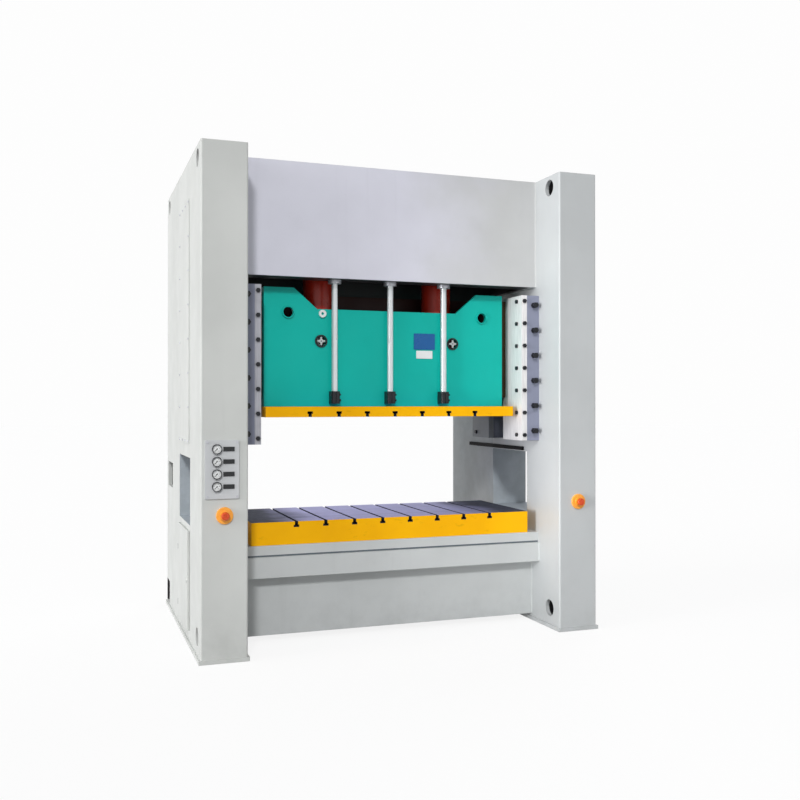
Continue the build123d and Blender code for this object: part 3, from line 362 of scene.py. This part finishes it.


# Materials: where second coats and painted shade lie, as ranges of |x|, y and z in metres, a hair past the
# faces they cover.

crown_low, crown_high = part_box("crown")
bed_low, bed_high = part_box("bed")
bolster_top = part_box("bolster_plate")[1][2]
plate_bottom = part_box("slide_plate")[0][2]
covers_low, covers_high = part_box("spoked_covers")
foot_lip = 0.010
rear_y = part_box("right_upright")[1][1] - foot_lip
middle = -1.0   # a low end for |x| that takes in the middle of the press
post_inside = (1.109, 1.341)
# The inner sides of the rear posts take a darker grey, as painted shade.
rear_inner_side = ((1.0785, 1.0812), (0.1425, 0.955), (0.0255, 3.1785))
# The window reveals take a darker blue-grey, as painted shade inside the windows.
window_reveals = ((1.0812, 1.3688), (-0.4405, 0.1425), (0.779, 1.2205))
# The hollows of the rear posts and behind the doors, the fronts of the notch plates and the lifting holes take
# a near-black, as painted shade.
rear_post_hollow = (post_inside, (0.170, 0.932), (0.024, 3.151))
door_hollow = (post_inside, (-0.44, 0.142), (0.024, 0.751))
notch_plate_front = ((1.330, 1.372), (rear_y - 0.0125, rear_y - 0.003), (0.028, 0.202))
hole_depths, hole_radius = (1.108, 1.342), 0.0585
hole_places = ((-0.777, 0.138), (-0.777, 3.096), (0.819, 3.096))
lifting_holes = [(hole_depths, y, z, hole_radius) for y, z in hole_places]
# A dark band along the crease where the bed's strip meets its flange, as painted shade.
bed_joint = ((middle, 1.0795), (-0.640, 0.240), (0.5772, 0.5880))
# The bays under the crown and its rear skirt take a near-black, as painted shade.
crown_bays = ((middle, 1.045), (-0.560, 0.137), (2.4165, 2.679))
crown_skirt = ((middle, 0.905), (0.12, 0.1365), (2.30, 2.42))
# The slide's hollow takes a dark red: red primer, darkened as painted shade.
slide_hollow = ((middle, 0.8535), (-0.3945, -0.0035), (1.50, 2.40))
# The slots of the plates are darkened with old oil and painted shade.
slot_depth, slot_skin = 0.0385, 0.0015
slot_heights = [
    (bolster_top - slot_depth, bolster_top - slot_skin), (plate_bottom + slot_skin, plate_bottom + slot_depth),
]
cover_radius, spoke_radius = 0.043, 0.027

# Materials: the finishes of the press, by the record's slots and some of the scene's own.

# Painted shade: the second grey is darker than the frame grey and the right upright takes it in place of the
# frame grey; the third grey is painted shade on the inner sides of the rear posts.
frame_grey, right_shade_grey, rear_shade_grey = srgb(203, 205, 202), srgb(190, 193, 194), srgb(166, 171, 174)
# The crown's second colour is a darker grey that it turns to towards its right end: a change of tint, with
# painted shade.
crown_lilac, crown_grey_and_shade = srgb(215, 215, 226), srgb(196, 197, 197)
# Painted shade: a near-black for hollows, a dark red for the slide's hollow, red primer darkened as shade, and
# a blue-grey for the window reveals.
hollow_shade, red_primer_and_shade, window_shade_grey = srgb(44, 42, 44), srgb(58, 30, 28), srgb(172, 180, 186)
# Painted shade: a dark grey band along the crease of the bed's strip and flange.
crease_shade = srgb(92, 101, 108)
upright_grain = (1, 1, 0.03)
materials = {
    # The uprights: the right one painted darker as shade, with painted shade on the rear inner sides, in the
    # window reveals, in the hollows and in the lifting holes.
    "upright_paint": paint(
        "upright_paint_look", frame_grey, 0.40, 0.35, floor_soil=0.30, drift=(right_shade_grey, 0.2, 1.1),
        linings=[
            (rear_shade_grey, [rear_inner_side], []),
            (window_shade_grey, [window_reveals], []),
            (hollow_shade, [rear_post_hollow, door_hollow, notch_plate_front], lifting_holes),
        ],
    ),
    "frame_paint": paint("frame_paint_look", frame_grey, 0.40, 0.35, floor_soil=0.30),
    # The bed: a slightly darker copy of the frame grey, as painted shade for the bed set back behind the
    # posts, with more dirt and painted shade along its crease.
    "bed_paint": paint(
        "bed_paint_look", srgb(197, 200, 200), 0.40, 0.45, floor_soil=0.30,
        linings=[(crease_shade, [bed_joint], [])],
    ),
    # The crown: near-black painted shade in its bays and skirt, and darker towards its right end as painted
    # shade.
    "crown_paint": paint(
        "crown_paint_look", crown_lilac, 0.40, 0.35, drift=(crown_grey_and_shade, -0.1, 1.0),
        linings=[(hollow_shade, [crown_bays, crown_skirt], [])],
    ),
    # The slide: red primer in its hollow, darkened as painted shade.
    "slide_paint": paint(
        "slide_paint_look", srgb(14, 184, 170), 0.44, 0.40, shine=0.25,
        linings=[(red_primer_and_shade, [slide_hollow], [])],
    ),
    # The bolster and slide plate: painted shade at the bolster's ends, and old oil with painted shade in the
    # slots.
    "table_paint": table("table_look", srgb(255, 184, 8), srgb(178, 177, 219), slot_heights),
    "spoked_covers": spoked(
        "spoked_cover_look", srgb(30, 32, 35), srgb(190, 196, 196), covers_high[0] - cover_radius,
        (covers_low[2] + covers_high[2]) / 2, spoke_radius,
    ),
    "guide_paint": paint("guide_paint_look", srgb(136, 140, 160), 0.38, 0.55),
    # A darker copy of the guide paint for the rear guide blocks, as painted shade.
    "shaded_rear_guide_paint": paint("shaded_rear_guide_look", srgb(80, 84, 95), 0.40, 0.60),
    "strip_steel": steel("guide_strip_look", srgb(228, 226, 226), 0.48, upright_grain, 0.05, 0.10),
    # A darker copy of the strip steel for the left front strip, as painted shade of the left post.
    "shaded_strip_steel": steel("shaded_strip_look", srgb(182, 182, 190), 0.50, upright_grain, 0.05, 0.35),
    # A darker copy of the strip steel for the rear guide strips, as painted shade.
    "shaded_rear_strip_steel": steel("shaded_rear_strip_look", srgb(118, 122, 126), 0.46, upright_grain, 0.1, 0.3),
    "machined_steel": steel("machined_steel_look", srgb(196, 197, 204), 0.34, upright_grain, 0.6),
    "bronze": steel("bronze_look", srgb(72, 56, 38), 0.36, (1, 1, 0.04), 0.8, 0.6),
    "cylinder_paint": paint("cylinder_paint_look", srgb(196, 48, 30), 0.32, 0.45),
    "chrome": chrome("chrome_look", srgb(222, 226, 228)),
    "black_steel": steel("black_oxide_look", srgb(34, 35, 39), 0.42, (1, 1, 0.3), 0.35, 0.3),
    "gauge_metal": steel("gauge_case_look", srgb(58, 58, 62), 0.30, (1, 1, 1), 0.6, 0.2),
    "dial_white": plastic("dial_look", srgb(252, 252, 250), 0.45),
    "lens": glass("lens_look"),
    "pointer_black": plastic("pointer_look", srgb(24, 24, 26), 0.35),
    "panel_white": paint("panel_look", srgb(200, 202, 204), 0.34, 0.45),
    "label_black": plastic("label_look", srgb(20, 23, 26), 0.32),
    # Near-black matt paint with little shine on the drip lips, as painted shade under the guides.
    "lip_shade_black": paint("lip_shade_look", srgb(15, 16, 18), 0.60, 0.40, edge_radius=0.002, shine=0.08),
    "stop_yellow": plastic("stop_yellow_look", srgb(252, 170, 62), 0.30),
    "stop_red": plastic("stop_red_look", srgb(214, 72, 18), 0.26),
    "plate_blue": paint("plate_blue_look", srgb(22, 92, 156), 0.30, 0.45, edge_radius=0.002),
    "plate_white": paint("plate_white_look", srgb(238, 240, 240), 0.32, 0.30, edge_radius=0.002),
}
# Nodes whose finish isn't the one that their slot in the record names.
own_finish = {
    "crown": "crown_paint", "bed": "bed_paint", "hole_collars": "slide_paint",
    "spoked_covers": "spoked_covers", "drip_lips": "lip_shade_black",
    # The left front strip takes the darker copy of the strip steel, as painted shade.
    "left_front_guide_strip": "shaded_strip_steel", "right_front_guide_strip": "strip_steel",
}
for side, _ in SIDES:
    own_finish[side + "_upright"] = "upright_paint"
    # The rear guide strips and blocks take the darker copies, as painted shade.
    own_finish[side + "_rear_guide_strip"] = "shaded_rear_strip_steel"
    own_finish[side + "_rear_guide_block"] = "shaded_rear_guide_paint"
for name, node in nodes.items():
    slot = node.material_slots[0].material.name.split(".")[0]
    node.material_slots[0].link = "OBJECT"
    node.material_slots[0].material = materials[own_finish.get(name, slot)]


# Pieces: helpers

def piece(name, mesh, material, body):
    item = bpy.data.objects.new(name, mesh)
    scene.collection.objects.link(item)
    mesh.materials.append(material)
    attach(item, body)


def made(name, build, smooth_degrees=None):
    """The mesh of a finished bmesh, with its edges smooth up to an angle."""
    mesh = bpy.data.meshes.new(name)
    build.to_mesh(mesh)
    build.free()
    if smooth_degrees:
        mesh.shade_smooth()
        mesh.set_sharp_from_angle(angle=math.radians(smooth_degrees))
    return mesh


def ring(build, centre, axis, radius, count):
    """Points round an axis, at even angles."""
    across = axis.orthogonal().normalized()
    up = axis.cross(across)
    points = []
    for turn in range(count):
        angle = 2 * math.pi * turn / count
        offset = (across * math.cos(angle) + up * math.sin(angle)) * radius
        points.append(build.verts.new(centre + offset))
    return points


def skin(build, rings):
    """A closed tube over rings of as many points each."""
    count = len(rings[0])
    for first, second in zip(rings, rings[1:]):
        for turn in range(count):
            after = (turn + 1) % count
            build.faces.new((first[turn], first[after], second[after], second[turn]))
    build.faces.new(list(reversed(rings[0])))
    build.faces.new(rings[-1])


def weld_beads(name, seams, finish):
    """Rippled fillet beads. Each seam is (start, end): the line of an inner corner, in metres."""
    radius, ripple_length, sides = 0.007, 0.004, 10
    build = bmesh.new()
    for start, end in seams:
        start, end = Vector(start), Vector(end)
        run = end - start
        steps = max(8, int(run.length / ripple_length))
        rings = []
        for step in range(steps + 1):
            ripple = 1 + 0.10 * math.sin(step * 1.9) + 0.05 * math.sin(step * 0.37 + start.x * 7)
            rings.append(ring(build, start + run * (step / steps), run.normalized(), radius * ripple, sides))
        skin(build, rings)
    bmesh.ops.recalc_face_normals(build, faces=build.faces)
    piece(name, made(name, build, 60), materials[finish], "frame")


def screw_heads(name, places, axis, radius):
    """Round socket screws with a recess, all in one piece."""
    sides = 16
    profile = (   # (radius, height) as shares of the head's radius, from the seat to the foot of the recess
        (1.0, 0.0), (1.0, 0.25), (0.86, 0.50), (0.62, 0.62), (0.42, 0.64), (0.40, 0.20),
    )
    axis = Vector(axis)
    build = bmesh.new()
    for place in places:
        skin(build, [
            ring(build, Vector(place) + axis * (radius * high), axis, radius * wide, sides)
            for wide, high in profile
        ])
    bmesh.ops.recalc_face_normals(build, faces=build.faces)
    piece(name, made(name, build, 35), materials["machined_steel"], "frame")


# Pieces: weld beads where crown and bed meet the uprights, and under the bed's flange

inner_half = crown_high[0]
weld_end = 0.004
crown_foot = crown_low[2] + 0.09
seams = []
for face in (crown_low[1], crown_high[1]):
    for x in (-inner_half, inner_half):
        seams.append(((x, face, crown_foot), (x, face, crown_high[2] - weld_end)))
weld_beads("crown_weld_beads", seams, finish="crown_paint")
box_front, box_rear = -0.513, 0.115
flange_bottom, flange_top = 0.442, 0.577
seams = []
for flange, box in ((bed_low[1], box_front), (bed_high[1], box_rear)):
    seams.append(((-inner_half, box, flange_bottom), (inner_half, box, flange_bottom)))
    for x in (-inner_half, inner_half):
        seams.append(((x, box, bed_low[2] + weld_end), (x, box, flange_bottom)))
        seams.append(((x, flange, flange_bottom + weld_end), (x, flange, flange_top)))
weld_beads("bed_weld_beads", seams, finish="bed_paint")

# Pieces: screws round the side covers

cover_low, cover_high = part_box("side_covers")
screw_inset, screw_rows, cover_screw_radius = 0.018, 8, 0.008
front_y, back_y = cover_low[1] + screw_inset, cover_high[1] - screw_inset
foot_z, head_z = cover_low[2] + screw_inset, cover_high[2] - screw_inset
for side, sign in SIDES:
    places = []
    for row in range(screw_rows):
        z = foot_z + (head_z - foot_z) * row / (screw_rows - 1)
        places += [(sign * cover_high[0], y, z) for y in (front_y, back_y)]
    for z in (foot_z, head_z):
        places += [(sign * cover_high[0], front_y + (back_y - front_y) * third / 3, z) for third in (1, 2)]
    screw_heads(side + "_cover_screws", places, (sign, 0, 0), cover_screw_radius)

# Pieces: plates that close the rear end of the corner notches, each with two screws

# The front of each plate takes the upright's near-black lining, painted shade in the notch.
notch_low = Vector((1.333, rear_y - 0.012, 0.0305))
notch_high = Vector((1.3695, rear_y - 0.001, 0.1995))
notch_bevel = 0.002
notch_screw_x, notch_screw_heights, notch_screw_radius = 1.352, (0.065, 0.165), 0.006
notch_seat_y = rear_y - 0.0012
for side, sign in SIDES:
    build = bmesh.new()
    bmesh.ops.create_cube(build, size=1)
    for vertex in build.verts:
        share = vertex.co + Vector((0.5, 0.5, 0.5))
        spot = notch_low + (notch_high - notch_low) * share
        vertex.co = (sign * spot.x, spot.y, spot.z)
    bmesh.ops.recalc_face_normals(build, faces=build.faces)
    bmesh.ops.bevel(build, geom=list(build.edges), offset=notch_bevel, segments=2, affect="EDGES")
    name = side + "_notch_plate"
    piece(name, made(name, build, 30), materials["upright_paint"], "frame")
    places = [(sign * notch_screw_x, notch_seat_y, z) for z in notch_screw_heights]
    screw_heads(side + "_notch_screws", places, (0, 1, 0), notch_screw_radius)

# Pieces: ticks and plain numbers on the four dials

SCALE_START, SCALE_SWEEP = 225, 270   # degrees, from lower left clockwise to lower right
TICKS, TICKS_PER_NUMBER = 26, 5
LONG_TICK, SHORT_TICK, TICK_END, NUMBER_RADIUS = 0.0195, 0.0212, 0.0235, 0.0155
LONG_HALF, SHORT_HALF, TICK_DEPTH = 0.00055, 0.0003, 0.0001
NUMBER_SIZE, NUMBER_EXTRUDE = 0.0062, 0.00005


def gauge_scale(name, centre, numbers):
    build = bmesh.new()
    for tick in range(TICKS):
        angle = math.radians(SCALE_START - SCALE_SWEEP * tick / (TICKS - 1))
        start, half = (SHORT_TICK, SHORT_HALF) if tick % TICKS_PER_NUMBER else (LONG_TICK, LONG_HALF)
        out = Vector((math.cos(angle), 0, math.sin(angle)))
        beside = Vector((-math.sin(angle), 0, math.cos(angle))) * half
        near, far = centre + out * start, centre + out * TICK_END
        front = [near - beside, near + beside, far + beside, far - beside]
        back = [point + Vector((0, TICK_DEPTH, 0)) for point in front]
        skin(build, [[build.verts.new(point) for point in face] for face in (front, back)])
    bmesh.ops.recalc_face_normals(build, faces=build.faces)
    piece(name, made(name, build), materials["pointer_black"], "frame")
    for index, number in enumerate(numbers):
        angle = math.radians(SCALE_START - SCALE_SWEEP * index / (len(numbers) - 1))
        text = bpy.data.curves.new("number", "FONT")
        text.body = number
        text.size = NUMBER_SIZE
        text.align_x, text.align_y = "CENTER", "CENTER"
        text.extrude = NUMBER_EXTRUDE
        holder = bpy.data.objects.new("number", text)
        mesh = bpy.data.meshes.new_from_object(holder)
        bpy.data.objects.remove(holder)
        place = centre + Vector((math.cos(angle), 0, math.sin(angle))) * NUMBER_RADIUS
        mesh.transform(Matrix.Translation(place) @ Matrix.Rotation(math.pi / 2, 4, "X"))
        mesh.materials.clear()
        number_name = name + "_number_" + str(index)
        piece(number_name, mesh, materials["pointer_black"], "frame")


dial_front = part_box("gauge_dials")[0][1] - 0.0002
gauge_x, lowest_gauge_z, gauge_pitch = -1.273, 1.072, 0.076
for row in range(4):
    centre = Vector((gauge_x, dial_front, lowest_gauge_z + gauge_pitch * row))
    gauge_scale("gauge_scale_" + str(row + 1), centre, ["0", "5", "10", "15", "20", "25"])

# Camera: the photograph's viewpoint, solved from the edges of the press, in pixels of its 800 x 800 frame

photo_size, focal_length, centre_across, centre_down = 800, 935.372, 395.890, 397.776
camera_data = bpy.data.cameras.new("camera")
camera_data.sensor_width = 36
camera_data.lens = focal_length / photo_size * camera_data.sensor_width
camera_data.shift_x = (photo_size / 2 - centre_across) / photo_size
camera_data.shift_y = (centre_down - photo_size / 2) / photo_size
camera_data.clip_end = 200
camera = bpy.data.objects.new("camera", camera_data)
camera.location = (-2.15023, -6.627165, 1.58378)
camera.rotation_euler = (math.radians(90.277), 0, -math.radians(19.586))
scene.collection.objects.link(camera)
scene.camera = camera


# Floor: the camera sees it near white with a light shadow, and the press is lit by less

def seen_directly(tree):
    """1 for what the camera sees straight on, in gloss or through glass."""
    path = tree.nodes.new("ShaderNodeLightPath")
    share = path.outputs["Is Camera Ray"]
    for name in ("Is Glossy Ray", "Is Transmission Ray"):
        more = tree.nodes.new("ShaderNodeMath")
        more.operation = "MAXIMUM"
        tree.links.new(share, more.inputs[0])
        tree.links.new(path.outputs[name], more.inputs[1])
        share = more.outputs[0]
    return share


floor_radius, floor_drop, glow_share = 60, 0.0005, 0.86
floor_material = bpy.data.materials.new("floor_look")
floor_material.use_nodes = True
tree = floor_material.node_tree
tree.nodes.clear()
matt = tree.nodes.new("ShaderNodeBsdfDiffuse")
matt.inputs["Color"].default_value = (0.42, 0.42, 0.42, 1)
pale = tree.nodes.new("ShaderNodeBsdfDiffuse")
pale.inputs["Color"].default_value = (0.95, 0.95, 0.95, 1)
glow = tree.nodes.new("ShaderNodeEmission")
glow.inputs["Color"].default_value = (1, 1, 1, 1)
shown = mix_shaders(tree, glow_share, pale, glow)
result = mix_shaders(tree, seen_directly(tree), matt, shown)
tree.links.new(result.outputs[0], tree.nodes.new("ShaderNodeOutputMaterial").inputs[0])
floor_build = bmesh.new()
bmesh.ops.create_circle(floor_build, cap_ends=True, segments=96, radius=floor_radius)
floor_mesh = made("floor", floor_build)
floor_mesh.materials.append(floor_material)
floor = bpy.data.objects.new("floor", floor_mesh)
floor.location = (0, 0, -floor_drop)
scene.collection.objects.link(floor)

# Surround: white for the camera, and for the press a little brighter from the front left than from behind

world = bpy.data.worlds.new("surround")
scene.world = world
world.use_nodes = True
tree = world.node_tree
tree.nodes.clear()
coords = tree.nodes.new("ShaderNodeTexCoord")
dot = tree.nodes.new("ShaderNodeVectorMath")
dot.operation = "DOT_PRODUCT"
dot.inputs[1].default_value = Vector((-0.60, -0.60, 0.50)).normalized()
tree.links.new(coords.outputs["Generated"], dot.inputs[0])
level = tree.nodes.new("ShaderNodeMapRange")
level.inputs["From Min"].default_value = -1.0
level.inputs["From Max"].default_value = 1.0
level.inputs["To Min"].default_value = 0.29
level.inputs["To Max"].default_value = 0.55
tree.links.new(dot.outputs["Value"], level.inputs["Value"])
lit = tree.nodes.new("ShaderNodeBackground")
lit.inputs["Color"].default_value = (0.97, 0.985, 1.0, 1)
tree.links.new(level.outputs[0], lit.inputs["Strength"])
white = tree.nodes.new("ShaderNodeBackground")
white.inputs["Color"].default_value = (1, 1, 1, 1)
white.inputs["Strength"].default_value = 0.985
result = mix_shaders(tree, seen_directly(tree), lit, white)
tree.links.new(result.outputs[0], tree.nodes.new("ShaderNodeOutputWorld").inputs[0])


# Lamps

def lamp(name, kind, energy, towards):
    """A lamp that shines from the direction towards."""
    data = bpy.data.lights.new(name, kind)
    data.energy = energy
    item = bpy.data.objects.new(name, data)
    item.rotation_euler = Vector(towards).to_track_quat("Z", "Y").to_euler()
    scene.collection.objects.link(item)
    return item


def sun(name, towards, strength, degrees, glare=True):
    """A distant lamp of some width. Without glare it leaves no highlight on gloss and metal."""
    item = lamp(name, "SUN", strength, towards)
    item.data.angle = math.radians(degrees)
    item.visible_glossy = glare


sun("front", (-0.27, -0.82, 0.52), 1.44, 7, glare=False)
sun("left", (-0.97, -0.09, 0.20), 1.95, 30)
sun("rear", (0.60, 0.70, 0.38), 0.95, 40, glare=False)

# A tall strip light with a grid, beside the left post, aimed at the inner side of the right one.
strip = lamp("strip", "AREA", 4.4, (-3.68, -1.0, 0))
strip.location = (-2.6, -1.75, 1.6)
strip.data.shape = "RECTANGLE"
strip.data.size, strip.data.size_y = 0.4, 2.8
strip.data.spread = math.radians(24)
